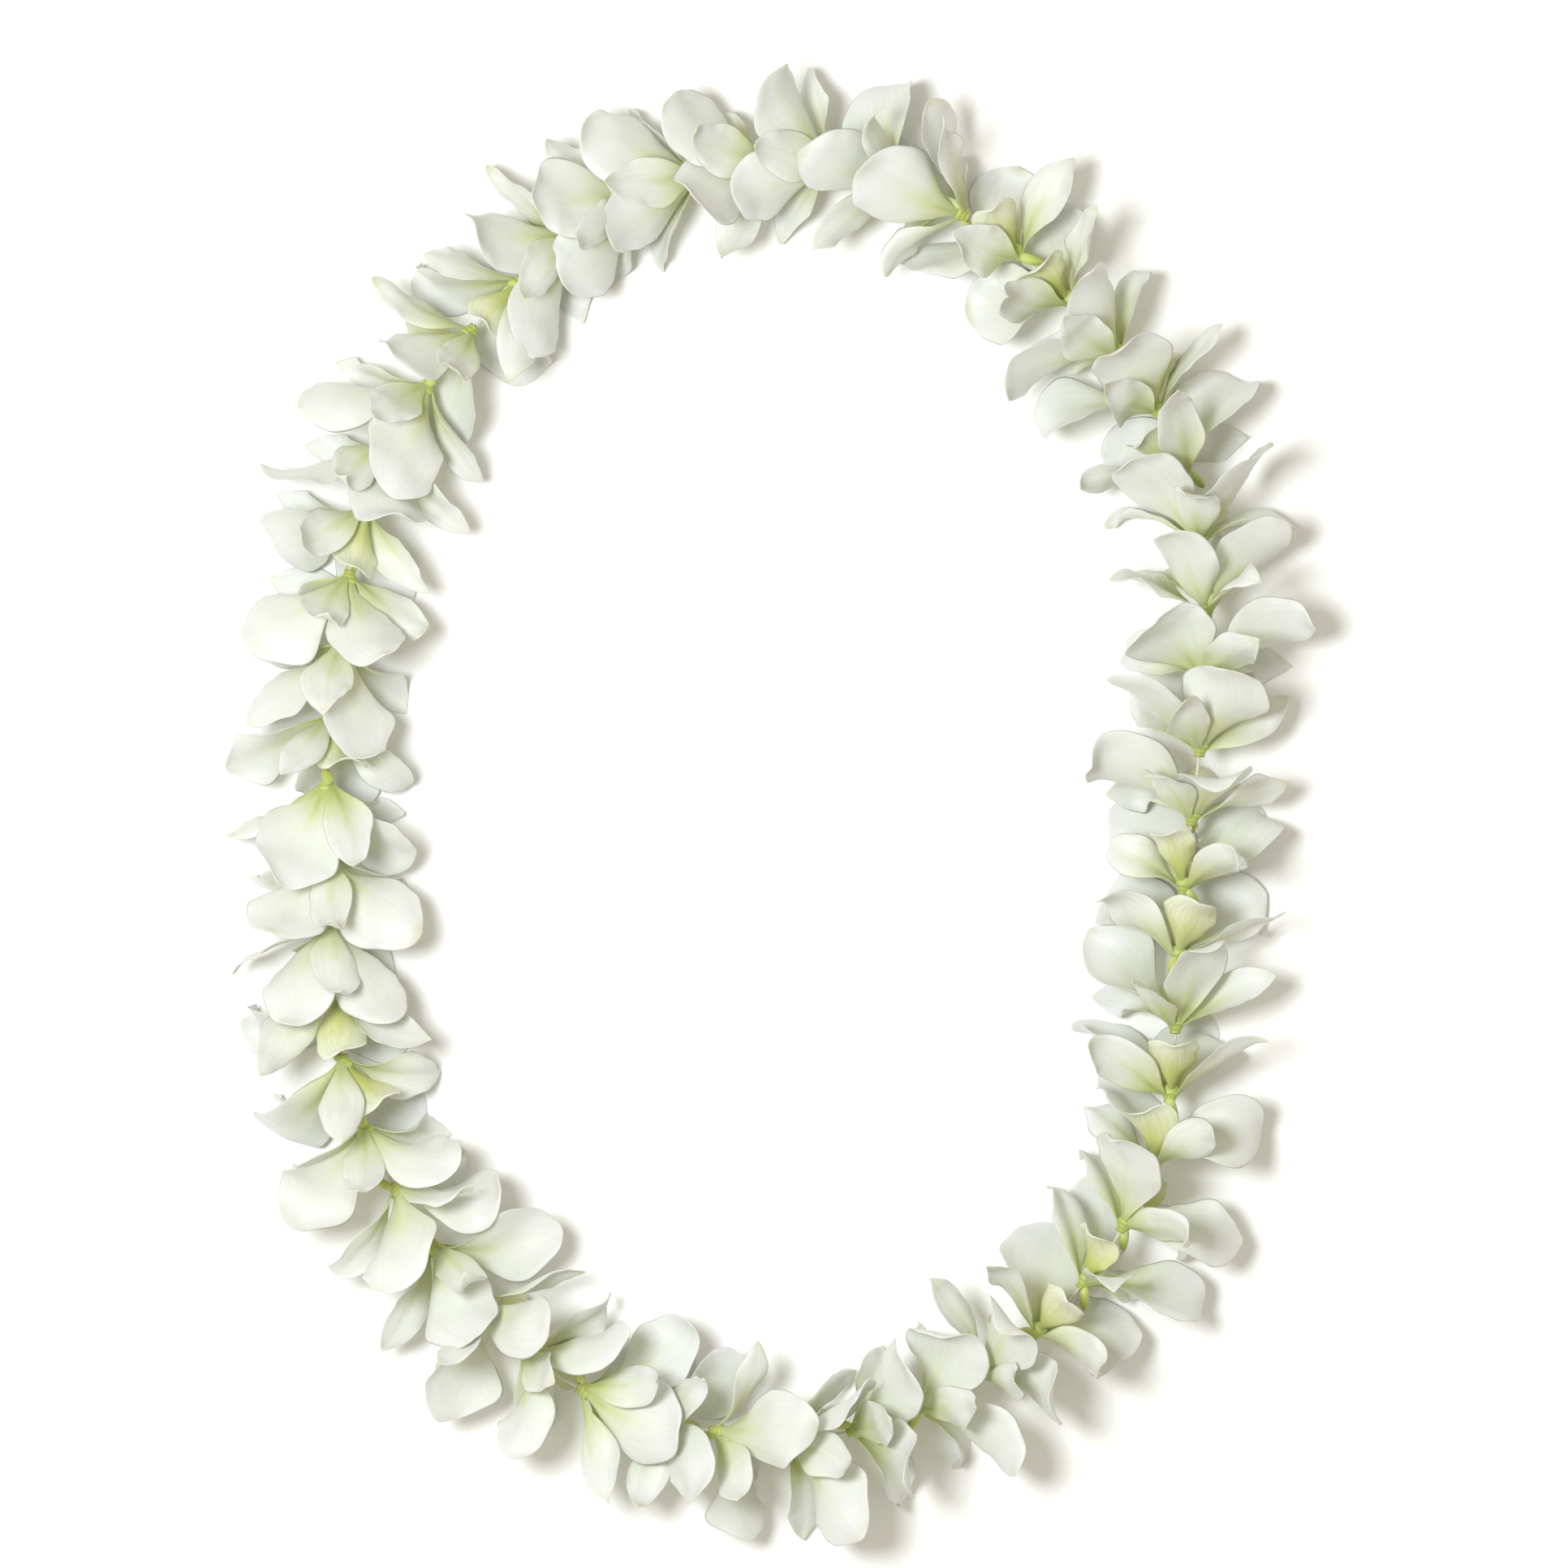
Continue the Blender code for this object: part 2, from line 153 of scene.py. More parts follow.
# Values of a looped table of keys at one share of the loop.
def blendAlong(keys, share):
    following = next((k for k in keys if k[0] > share), None)
    after = following or (keys[0][0] + 1, *keys[0][1:])
    before = keys[(keys.index(following) if following else len(keys)) - 1]
    t = (share - before[0]) / (after[0] - before[0])
    return [a + (b - a) * t for a, b in zip(before[1:], after[1:])]


# Points evenly spaced along a closed smooth curve that rounds off the route.
def loopPoints(count):
    ring = [Vector((x * mm, y * mm, lei["stringHeight"])) for x, y in route]
    fine = []
    for i in range(len(ring)):
        a, b, c, d = (ring[(i + k) % len(ring)] for k in (-1, 0, 1, 2))
        for j in range(routeSteps):
            t = j / routeSteps
            fine.append(((1 - t) ** 3 * a + (3 * t**3 - 6 * t**2 + 4) * b
                         + (-3 * t**3 + 3 * t**2 + 3 * t + 1) * c + t**3 * d) / 6)
    gaps = [(fine[(i + 1) % len(fine)] - p).length for i, p in enumerate(fine)]
    spacing, points, travelled, i = sum(gaps) / count, [], 0.0, 0
    for k in range(count):
        while travelled + gaps[i] < k * spacing:
            travelled += gaps[i]
            i += 1
        t = (k * spacing - travelled) / gaps[i]
        points.append(fine[i].lerp(fine[(i + 1) % len(fine)], t))
    return points


# A bloom's place on the string: X out of the loop, Y along the string, Z up.
def seatFrame(points, index):
    here = points[index]
    ahead = (points[(index + 1) % len(points)] - points[index - 1]).normalized()
    out = ahead.cross(up)
    frame = Matrix((out, ahead, up)).transposed().to_4x4()
    return Matrix.Translation(here) @ frame


# Share of a blade's full half width at u along it.
def halfWidth(kind, u):
    swell = math.sin(min(1.0, u / kind["widest"]) * math.pi / 2) ** kind["wedge"]
    width = kind["claw"] + (1 - kind["claw"]) * swell
    if u > kind["widest"]:
        width *= max(0.0, 1 - ((u - kind["widest"]) / (1 - kind["widest"])) ** 2) ** kind["point"]
    return width


# Points and directions along the middle of a blade that bends out from the axis and
# lies down along the table where it meets it.
def centreLine(bloom, blade):
    kind, step = blade["kind"], blade["length"] / centreSteps
    around = math.radians(blade["around"])
    radial = Vector((math.cos(around), 0, math.sin(around)))
    side = Vector((-math.sin(around), 0, math.cos(around)))
    angle = math.radians(kind["start"])
    turn = bloom["face"].to_3x3()
    height = (turn @ radial).z
    hood = (blade["hood"] if height > 0 else -table["splay"]) * height * height
    along = turn @ (Vector((0, math.cos(angle), 0)) + radial * math.sin(angle))
    face = turn @ (Vector((0, math.sin(angle), 0)) - radial * math.cos(angle))
    side = turn @ side
    flat = bloom["frame"].to_3x3().transposed() @ (turn @ radial)
    flat.y = 0
    place = bloom["frame"] @ (flat.normalized() * rootRadius + Vector((0, kind["seat"], 0)))
    line = [(place.copy(), along.copy(), side.copy(), face.copy())]
    for i in range(centreSteps):
        u = (i + 0.5) / centreSteps
        # Over the steps this adds up to the opening, and then to the flare.
        bend = (blade["open"] - hood) * 2 if u < 0.5 else blade["flare"] * 8 * (u - 0.5)
        bend = bend / centreSteps
        spin = Matrix.Rotation(-math.radians(bend), 3, side)
        spin = Matrix.Rotation(math.radians(blade["twist"] / centreSteps), 3, along) @ spin
        spin = Matrix.Rotation(math.radians(blade["sway"] / centreSteps), 3, face) @ spin
        along, side, face = spin @ along, spin @ side, spin @ face
        steepest = -max(0.0, place.z - table["aim"]) / table["reach"]
        if along.z < steepest:
            level = along.cross(up).normalized()
            lift = math.asin(max(-1.0, steepest)) - math.asin(max(-1.0, along.z))
            spin = Matrix.Rotation(lift, 3, level)
            along, side, face = spin @ along, spin @ side, spin @ face
        share = max(1 - place.z / table["flatten"], 0) * table["level"]
        share += blade["droop"] / centreSteps
        spin = Matrix.Rotation(math.asin(side.z) * share * (1 if face.z > 0 else -1), 3, along)
        side, face = spin @ side, spin @ face
        place = place + along * step
        line.append((place.copy(), along.copy(), side.copy(), face.copy()))
    return line


# A point of a blade's middle layer, u along it and v from -1 to 1 across, and its normal.
def bladePoint(line, blade, u, v):
    kind = blade["kind"]
    at = min(u * centreSteps, centreSteps - 1e-6)
    i, t = int(at), at - int(at)
    place, _, side, face = (line[i][k].lerp(line[i + 1][k], t) for k in range(4))
    half = blade["width"] / 2 * halfWidth(kind, u)
    roll = math.radians(blade["roll"]) * (1 - unroll * u)
    across, rise = math.sin(v * roll) / roll * half, (1 - math.cos(v * roll)) / roll * half
    wave = blade["wave"] * math.sin(math.tau * blade["waves"] * u + blade["phase"] + waveLag * v)
    rise += wave * abs(v) ** 2 * math.sin(math.pi * u)
    normal = (face * math.cos(v * roll) - side * math.sin(v * roll)).normalized()
    point = place + side * across + face * rise
    if point.z < table["soft"]:
        room = table["soft"] - table["layer"]
        rise = max(0.0, point.z - table["soft"] + 2 * room)
        point.z = table["layer"] + rise * rise / (4 * room)
    return point, normal


# A thin closed blade: one grid for each face, split alike, sharing their rim.
def addBlade(bm, bloom, blade, thickness=bladeThickness):
    line, rows, panels = centreLine(bloom, blade), blade["kind"]["rows"], blade["kind"]["panels"]
    for sign in (1, -1):
        grid = bmesh.ops.create_grid(bm, x_segments=panels, y_segments=rows, size=1)["verts"]
        faces = list({f for vert in grid for f in vert.link_faces})
        bmesh.ops.triangulate(bm, faces=faces)
        for vert in grid:
            v, u = vert.co.x, (vert.co.y + 1) / 2
            point, normal = bladePoint(line, blade, u, v)
            inner = abs(v) < 0.999 and u < 0.999
            point += normal * (sign * thickness / 2 if inner else 0)
            vert.co = (point.x, point.y, point.z if point.z > table["snap"] else 0.0)


# One blade with its own length, bend, twist and waved rim. Wild scales what varies.
def drawBlade(kind, around, half, tip, wild, draw):
    vary = lambda name: draw.uniform(-scatter[name], scatter[name]) * wild
    between = lambda name: draw.uniform(*scatter[name])
    return {
        "kind": kind,
        "around": around + vary("around"),
        "length": kind["length"] * (1 + vary("size")),
        "width": kind["width"] * (1 + vary("size")),
        "open": half + kind["back"] - kind["start"] + vary("open"),
        "flare": tip - half + vary("flare"),
        "twist": vary("twist"),
        "droop": between("droop"),
        "hood": between("hood") * wild,
        "sway": vary("sway"),
        "roll": kind["roll"] * (1 + vary("roll")) * draw.choice(scatter["rolls"]),
        "wave": between("wave") * wild,
        "waves": between("waves"),
        "phase": draw.uniform(0, math.tau),
    }


# The frame and blades of one bloom.
def drawBloom(frame, half, tip, lean, turnIn, wild, draw):
    vary = lambda name: draw.uniform(-scatter[name], scatter[name]) * wild
    roll = vary("spin") + (180 if draw.random() < scatter["upsideDown"] else 0)
    face = (frame @ Matrix.Rotation(math.radians(turnIn + vary("tilt")), 4, "Z")
            @ Matrix.Rotation(math.radians(lean + vary("tilt")), 4, "X")
            @ Matrix.Rotation(math.radians(roll), 4, "Y"))
    half, tip = half + vary("half"), tip + vary("tip")
    blades = [drawBlade(kind, around, half, tip, wild, draw)
              for kind in (sepal, petal) for around in kind["around"]]
    blades += [drawBlade(lip, around, lip["half"], lip["tip"], wild * lip["wild"], draw)
               for around in lip["around"]]
    return {"frame": frame, "face": face, "blades": blades}


# The green end of the flower stalk that carries the petals, with the string's hole.
def addBase(bm, bloom):
    others = set(bm.verts)
    profile = [(base["back"], lei["boreRadius"]), (base["back"], base["stalk"]),
               (base["middle"], base["radius"]), (base["front"], lei["boreRadius"])]
    ring = [bm.verts.new((radius, y, 0)) for y, radius in profile]
    edges = [bm.edges.new((ring[k - 1], ring[k])) for k in range(len(ring))]
    bmesh.ops.spin(bm, geom=ring + edges, axis=(0, 1, 0), cent=(0, 0, 0), angle=math.tau,
                   steps=base["sides"], use_merge=True)
    bmesh.ops.transform(bm, matrix=bloom["frame"], verts=[v for v in bm.verts if v not in others])


# A search tree over the coarse faces of some of a bloom's blades.
def searchTree(bloom, blades, thickness, clearOfRoot=0):
    bm = bmesh.new()
    for blade in blades:
        addBlade(bm, bloom, blade, thickness)
    centre = bloom["frame"].translation
    near = [v for v in bm.verts if (v.co - centre).length < clearOfRoot]
    bmesh.ops.delete(bm, geom=near, context="VERTS")
    if not clearOfRoot:
        addBase(bm, bloom)
    tree = BVHTree.FromBMesh(bm)
    bm.free()
    return tree


# Whether any two blades of a bloom cut each other away from its stalk end.
def crossesItself(bloom):
    trees = [searchTree(bloom, [blade], bladeThickness, rootReach) for blade in bloom["blades"]]
    return any(a.overlap(b) for i, a in enumerate(trees) for b in trees[:i])


# A tube along points, mitred at each bend.
def tube(bm, points, radius, sides, closed):
    rings = []
    for i, here in enumerate(points):
        before = points[i - 1] if closed or i else here
        after = points[(i + 1) % len(points)] if closed or i < len(points) - 1 else here
        ahead = (after - before).normalized()
        out = ahead.cross(up).normalized()
        rise = out.cross(ahead)
        rings.append([bm.verts.new(here + radius * (math.cos(a) * out + math.sin(a) * rise))
                      for a in (math.tau * k / sides for k in range(sides))])
    pairs = list(zip(rings, rings[1:] + rings[:1])) if closed else list(zip(rings, rings[1:]))
    for low, high in pairs:
        for k in range(sides):
            bm.faces.new((low[k], low[(k + 1) % sides], high[(k + 1) % sides], high[k]))
    if not closed:
        bm.faces.new(rings[0])
        bm.faces.new(rings[-1])


# The knot and its tails, halfway from the last bloom to the first, as fill functions.
def knotPieces(points, grow):
    seat = seatFrame(points, len(points) - 1)
    ball = lambda bm: bmesh.ops.create_icosphere(
        bm, subdivisions=1, radius=knot["radius"] + grow, matrix=seat)
    pieces = [ball]
    for way in knot["ways"]:
        turn = Vector(way).to_track_quat("Z", "Y").to_matrix().to_4x4()
        place = seat @ turn @ Matrix.Translation((0, 0, knot["tail"] / 2))
        pieces.append(lambda bm, place=place: bmesh.ops.create_cone(
            bm, cap_ends=True, segments=knot["tailSides"], radius1=knot["tailRadius"] + grow,
            radius2=knot["tailRadius"] + grow, depth=knot["tail"], matrix=place))
    return pieces


# Draws the blooms in turn round the loop. One that would cross the string or those
# behind it is drawn again, a little tamer each time, and where none fits the last two
# are taken off and drawn afresh.
def planBlooms(points):
    draw, blooms, trees = random.Random(lei["seed"]), [], []
    count, setbacks = lei["blooms"], 0
    bm = bmesh.new()
    tube(bm, points, lei["boreRadius"], lei["stringSides"], True)
    for addPiece in knotPieces(points, clearOfString):
        addPiece(bm)
    string = BVHTree.FromBMesh(bm)
    bm.free()
    while len(blooms) < count:
        i = len(blooms)
        half, tip, lean, turnIn = blendAlong(habit, i / count)
        frame = seatFrame(points, i * lei["pointsPerBloom"])
        for attempt in range(tries):
            wild = wildest - attempt / tries
            bloom = drawBloom(frame, half, tip, lean, turnIn, wild, draw)
            tree = searchTree(bloom, bloom["blades"], testThickness)
            near = trees[-2:] + (trees[:2] if i >= count - 2 else [])
            if any(tree.overlap(other) for other in near) or crossesItself(bloom):
                continue
            if not searchTree(bloom, bloom["blades"], bladeThickness, bladesOnly).overlap(string):
                blooms.append(bloom)
                trees.append(tree)
                break
        else:
            setbacks += 1
            del blooms[-2:], trees[-2:]
            if setbacks > mostSetbacks:
                raise SystemExit("the blooms don't fit on the string")
    return blooms


fine = {
    "rows": 16,  # along a blade, closer together towards its tip
    "panels": 8,
    "crowd": 0.9,  # below 1 moves the panels' lines out towards the sides
    "thickness": 0.55 * mm,
    "rim": 0.16 * mm,  # thickness left at the edge
    "frill": 0.9 * mm,  # ripples of the edge
    "frillLength": 6 * mm,
    "smallFrill": (0.6, 1.9),  # height and closeness of the ripples laid over those
    "crumple": 2.6 * mm,  # soft dents, growing towards the tip
    "crumpleLength": 9.5 * mm,
    "curl": 2.0 * mm,  # how far the sides and the tip turn in or out
    "curlTurn": 2.2,  # how unlike the curls of the two sides are, in radians
    "uneven": 0.26,  # how far the outline strays from a smooth one
    "unevenLength": 9 * mm,
    "clear": 0.03 * mm,  # above the table
    "groove": 0.55 * mm,  # depth of the line down a blade's middle
    "grooveWidth": 0.14,
    "bladeTone": 0.4,  # share of a blade's tone that is its own and not its bloom's
    "smooth": 1,
}
slots = {"petal": 0, "sepal": 1, "lip": 2, "stalk": 3, "column": 4}
seamGap = 0.0005 * mm  # points nearer than this are one


# How far a blade's surface moves from the solid's: an edge that ripples and curls, a line
# pressed down its middle, and soft dents. Multiples of the phase make each blade its own.
def surfaceDetail(blade, u, v):
    ripples = blade["length"] / fine["frillLength"]
    height, closeness = fine["smallFrill"]
    swing = math.sin(math.tau * ripples * u + 5 * blade["phase"] + 2 * v)
    swing += height * math.sin(math.tau * closeness * ripples * u + 3 * blade["phase"] - v)
    arch = math.sin(math.pi * u)
    lift = fine["frill"] * swing * v**4 * arch
    lift += fine["curl"] * math.sin(3 * blade["phase"] + fine["curlTurn"] * v) * v**4 * arch
    lift += fine["curl"] * math.sin(5 * blade["phase"]) * u**6
    lift -= fine["groove"] * math.exp(-((v / fine["grooveWidth"]) ** 2)) * arch
    across = v * halfWidth(blade["kind"], u) * blade["width"] / 2
    spot = Vector((across, u * blade["length"], 0)) / fine["crumpleLength"]
    spot.z = 10 * blade["phase"]
    return lift + fine["crumple"] * noise.noise(spot) * u


# The place across a blade, moved in or out where its outline is uneven.
def strayAcross(blade, u, v):
    spot = Vector((u * blade["length"] / fine["unevenLength"], math.copysign(4, v), 0))
    spot.z = 7 * blade["phase"]
    return v * (1 + fine["uneven"] * noise.noise(spot) * abs(v))


# Both faces of one blade as fine grids. Every point keeps its place across and along the
# blade and the blade's tone, for the materials.
def addFineBlade(bm, bloom, blade, layer, tone):
    line = centreLine(bloom, blade)
    before = set(bm.faces)
    for sign in (1, -1):
        made = bmesh.ops.create_grid(bm, x_segments=fine["panels"], y_segments=fine["rows"], size=1)
        for vert in made["verts"]:
            v, u = vert.co.x, math.sin((vert.co.y + 1) / 4 * math.pi)
            v = math.copysign(abs(v) ** fine["crowd"], v)
            point, normal = bladePoint(line, blade, u, strayAcross(blade, u, v))
            body = fine["rim"] + (fine["thickness"] - fine["rim"]) * (1 - v**6)
            if abs(v) > 0.999 or u > 0.9999:
                body = 0
            point += normal * (surfaceDetail(blade, u, v) + sign * body / 2)
            lowest = fine["clear"] + (body if sign * normal.z > 0 else 0)
            vert.co = (point.x, point.y, max(point.z, lowest))
            vert[layer] = Vector((v, u, tone))
    for face in set(bm.faces) - before:
        face.material_index = slots[blade["kind"]["name"]]


stalk = {
    "steps": 10, "ringSteps": 20,
    "swell": 2.2,  # above 1 keeps it slim for longer
    "ridge": 0.12 * mm, "ridges": 5,  # rings that stand out and in along it
    "shoulder": (0.7, 0.72),  # shares of the front's distance and of the full radius
}


# The green end of the flower stalk, ringed and swelling to where the petals grow.
def addFineBase(bm, bloom, layer, tone):
    before = set(bm.verts)
    facesBefore = set(bm.faces)
    profile = [(base["back"], lei["boreRadius"])]
    for k in range(stalk["steps"] + 1):
        t = k / stalk["steps"]
        y = base["back"] + (base["middle"] - base["back"]) * t
        radius = base["stalk"] + (base["radius"] - base["stalk"]) * t ** stalk["swell"]
        profile.append((y, radius + stalk["ridge"] * math.sin(stalk["ridges"] * math.pi * t)))
    profile.append((base["front"] * stalk["shoulder"][0], base["radius"] * stalk["shoulder"][1]))
    profile.append((base["front"], lei["boreRadius"]))
    ring = [bm.verts.new((radius, y, 0)) for y, radius in profile]
    edges = [bm.edges.new((ring[k - 1], ring[k])) for k in range(len(ring))]
    bmesh.ops.spin(bm, geom=ring + edges, axis=(0, 1, 0), cent=(0, 0, 0), angle=math.tau,
                   steps=stalk["ringSteps"], use_merge=True)
    new = [v for v in bm.verts if v not in before]
    for vert in new:
        vert[layer] = Vector((0, (vert.co.y - base["back"]) / (base["front"] - base["back"]), tone))
    bmesh.ops.transform(bm, matrix=bloom["frame"], verts=new)
    for face in set(bm.faces) - facesBefore:
        face.material_index = slots["stalk"]


column = {
    "length": 8.5 * mm, "radius": 1.7 * mm, "bend": 0.0,
    "tip": 1.15,  # width at the tip, from the root's
    "away": 1.4 * mm,  # clear of the string's line
    "lean": 16,
    "slot": "column",
}
spur = {
    "length": 7.5 * mm, "radius": 2.1 * mm, "tip": 0.75, "bend": 2.4 * mm,
    "back": 0.3, "out": 1.2 * mm,  # share of the way to the stalk's end, and from its middle
    "lean": 62, "leanEitherWay": 14,
    "share": 0.75,  # of the blooms that have one
    "slot": "stalk",
}
finger = {"segments": 14, "rings": 12, "flat": 0.85}


# A small rounded finger, from its root at the origin up along Z, that bends towards X.
def addFinger(bm, kind, place, layer, tone, reverse):
    facesBefore = set(bm.faces)
    shape = bmesh.ops.create_uvsphere(
        bm, u_segments=finger["segments"], v_segments=finger["rings"], radius=1)["verts"]
    for vert in shape:
        t = (vert.co.z + 1) / 2
        swell = kind["radius"] * (1 + (kind["tip"] - 1) * t)
        vert[layer] = Vector((vert.co.x, 1 - t if reverse else t, tone))
        vert.co = (vert.co.x * swell + kind["bend"] * t * t, vert.co.y * swell * finger["flat"],
                   t * kind["length"])
    bmesh.ops.transform(bm, matrix=place, verts=shape)
    for face in set(bm.faces) - facesBefore:
        face.material_index = slots[kind["slot"]]


# The short thick column that stands beside the string over the lip.
def addColumn(bm, bloom, layer, tone):
    place = bloom["face"] @ Matrix.Translation((0, base["middle"], column["radius"] + column["away"]))
    place = place @ Matrix.Rotation(math.radians(-90 - column["lean"]), 4, "X")
    addFinger(bm, column, place, layer, tone, False)


# The blunt green spur on the side of the stalk end, browned where it was picked off.
def addSpur(bm, bloom, layer, tone, draw):
    around = math.radians(draw.uniform(-180, 180))
    turn = Matrix.Rotation(around, 4, "Y")
    turn = turn @ Matrix.Translation((0, base["back"] * spur["back"], spur["out"]))
    lean = math.radians(spur["lean"] + draw.uniform(-spur["leanEitherWay"], spur["leanEitherWay"]))
    place = bloom["face"] @ turn @ Matrix.Rotation(lean, 4, "X")
    addFinger(bm, spur, place, layer, tone, True)


# A bmesh as a finished object at the origin, with its seams closed and its faces outwards.
def finishMesh(bm, name, looks, shift):
    bmesh.ops.remove_doubles(bm, verts=bm.verts, dist=seamGap)
    bmesh.ops.recalc_face_normals(bm, faces=bm.faces)
    for face in bm.faces:
        face.smooth = True
    bm.transform(Matrix.Translation(shift))
    mesh = bpy.data.meshes.new(name)
    bm.to_mesh(mesh)
    bm.free()
    for look in looks:
        mesh.materials.append(look)
    item = bpy.data.objects.new(name, mesh)
    bpy.context.scene.collection.objects.link(item)
    return item


# One bloom as one piece, in place of its solid.
def buildFineBloom(number, bloom, looks, shift):
    bm = bmesh.new()
    layer = bm.verts.layers.float_vector.new("blade")
    draw = random.Random(lei["seed"] * 100 + number)
    bloomTone = draw.uniform(0, 1)
    for blade in bloom["blades"]:
        tone = bloomTone * (1 - fine["bladeTone"]) + draw.uniform(0, fine["bladeTone"])
        addFineBlade(bm, bloom, blade, layer, tone)
    addFineBase(bm, bloom, layer, bloomTone)
    addColumn(bm, bloom, layer, bloomTone)
    if draw.random() < spur["share"]:
        addSpur(bm, bloom, layer, bloomTone, draw)
    item = finishMesh(bm, f"orchid_{number:02d}", looks, shift)
    smoothing = item.modifiers.new("smooth", "SUBSURF")
    smoothing.levels = smoothing.render_levels = fine["smooth"]
    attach(item, "root")
    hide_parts(f"bloom_{number:02d}")


thread = {
    "plies": 3, "lay": 3.2 * mm,  # a ply goes once round in one lay
    "ply": 0.55, "wind": 0.5,  # a ply's radius and its distance out, from the string's radius
    "step": 0.8 * mm, "sides": 5,
    "knotPoints": 60, "knotSides": 8, "knotReach": 3.4,  # of the knot's curve before it is scaled
    "tailPoints": 9, "tailWave": 0.25 * mm, "tailTurn": 0.9,  # of the wave from point to point
}


# One ply of the thread, wound round the string's own line.
def plyPoints(loop, turns, ply):
    strand = []
    for i, here in enumerate(loop):
        ahead = (loop[(i + 1) % len(loop)] - loop[i - 1]).normalized()
        out = ahead.cross(up).normalized()
        rise = out.cross(ahead)
        angle = math.tau * (turns * i / len(loop) + ply / thread["plies"])
        around = lei["stringRadius"] * thread["wind"]
        strand.append(here + around * (math.cos(angle) * out + math.sin(angle) * rise))
    return strand


# The twisted thread in its closed loop, and the trefoil knot with two cut tails.
def buildThread(points, look, shift):
    bm = bmesh.new()
    length = sum((points[(i + 1) % len(points)] - p).length for i, p in enumerate(points))
    loop = loopPoints(round(length / thread["step"]))
    for ply in range(thread["plies"]):
        strand = plyPoints(loop, round(length / thread["lay"]), ply)
        tube(bm, strand, lei["stringRadius"] * thread["ply"], thread["sides"], True)
    seat = seatFrame(points, len(points) - 1)
    trefoil = []
    for k in range(thread["knotPoints"]):
        t = math.tau * k / thread["knotPoints"]
        turn = Vector((math.sin(t) + 2 * math.sin(2 * t), -math.sin(3 * t),
                       math.cos(t) - 2 * math.cos(2 * t)))
        trefoil.append(seat @ (turn * knot["radius"] / thread["knotReach"]))
    tube(bm, trefoil, lei["stringRadius"], thread["knotSides"], True)
    for way in knot["ways"]:
        turn = seat @ Vector(way).to_track_quat("Z", "Y").to_matrix().to_4x4()
        share = knot["tail"] / (thread["tailPoints"] - 1)
        tail = [turn @ Vector((thread["tailWave"] * math.sin(thread["tailTurn"] * k), 0, share * k))
                for k in range(thread["tailPoints"])]
        tube(bm, tail, knot["tailRadius"], thread["knotSides"], False)
    item = finishMesh(bm, "thread", [look], shift)
    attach(item, "root")
    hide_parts("string")


# An sRGB hex colour as the linear values that shaders take.
def linear(code):
    parts = [int(code[i:i + 2], 16) / 255 for i in (1, 3, 5)]
    return [p / 12.92 if p <= 0.04045 else ((p + 0.055) / 1.055) ** 2.4 for p in parts] + [1.0]


# Adds a node with its settings, and its inputs as values or links.
def addNode(tree, kind, inputs=None, stops=None, **settings):
    made = tree.nodes.new("ShaderNode" + kind)
    for name, value in settings.items():
        setattr(made, name, value)
    if stops:
        ramp = made.color_ramp
        while len(ramp.elements) < len(stops):
            ramp.elements.new(0.5)
        for element, (place, colour) in zip(ramp.elements, stops):
            element.position = place
            element.color = linear(colour)
    for socket, value in (inputs or {}).items():
        if isinstance(value, bpy.types.NodeSocket):
            tree.links.new(value, made.inputs[socket])
        else:
            made.inputs[socket].default_value = value
    return made


# A new material with its tree and its shader.
def startMaterial(name):
    look = bpy.data.materials.new(name)
    look.use_nodes = True
    tree = look.node_tree
    return look, tree, tree.nodes["Principled BSDF"]


petalLooks = {
    "orchidPetal": {
        "stops": [(0.0, "#B0BC5E"), (0.16, "#CBD29A"), (0.40, "#DCE0D2"), (0.8, "#E0E2E1"),
                  (1.0, "#DFE1DB")],
        "veins": 9, "veinColour": "#C9CEB4", "veinShare": 0.26},
    "orchidSepal": {
        "stops": [(0.0, "#ACB958"), (0.18, "#C7CF93"), (0.44, "#DDE1D2"), (0.8, "#DFE1E0"),
                  (1.0, "#D8DBC8")],
        "veins": 6, "veinColour": "#C4CAAA", "veinShare": 0.3},
    "orchidLip": {
        "stops": [(0.0, "#A4B034"), (0.3, "#C0C962"), (0.62, "#DADFB2"), (1.0, "#E4E5DC")],
        "veins": 10, "veinColour": "#B4BD68", "veinShare": 0.5},
}


petalSkin = {
    "clouds": 14 * mm,  # patches where the green reaches further, or the edge browns
    "drift": 0.08,  # how far they move the colours along a blade, either way
    "midrib": (0.3, 0.15),  # half width of the greener middle, and how far it reaches on
    "cast": 0.4, "castColour": "#DCDCD3",
    "veinBreaks": 2.6,  # higher breaks the veins up sooner
    "edge": 0.9, "browned": 0.55, "brown": "#B9AF85",
    "cells": 0.9 * mm,  # coarser than real cells, so that the sparkle shows
}


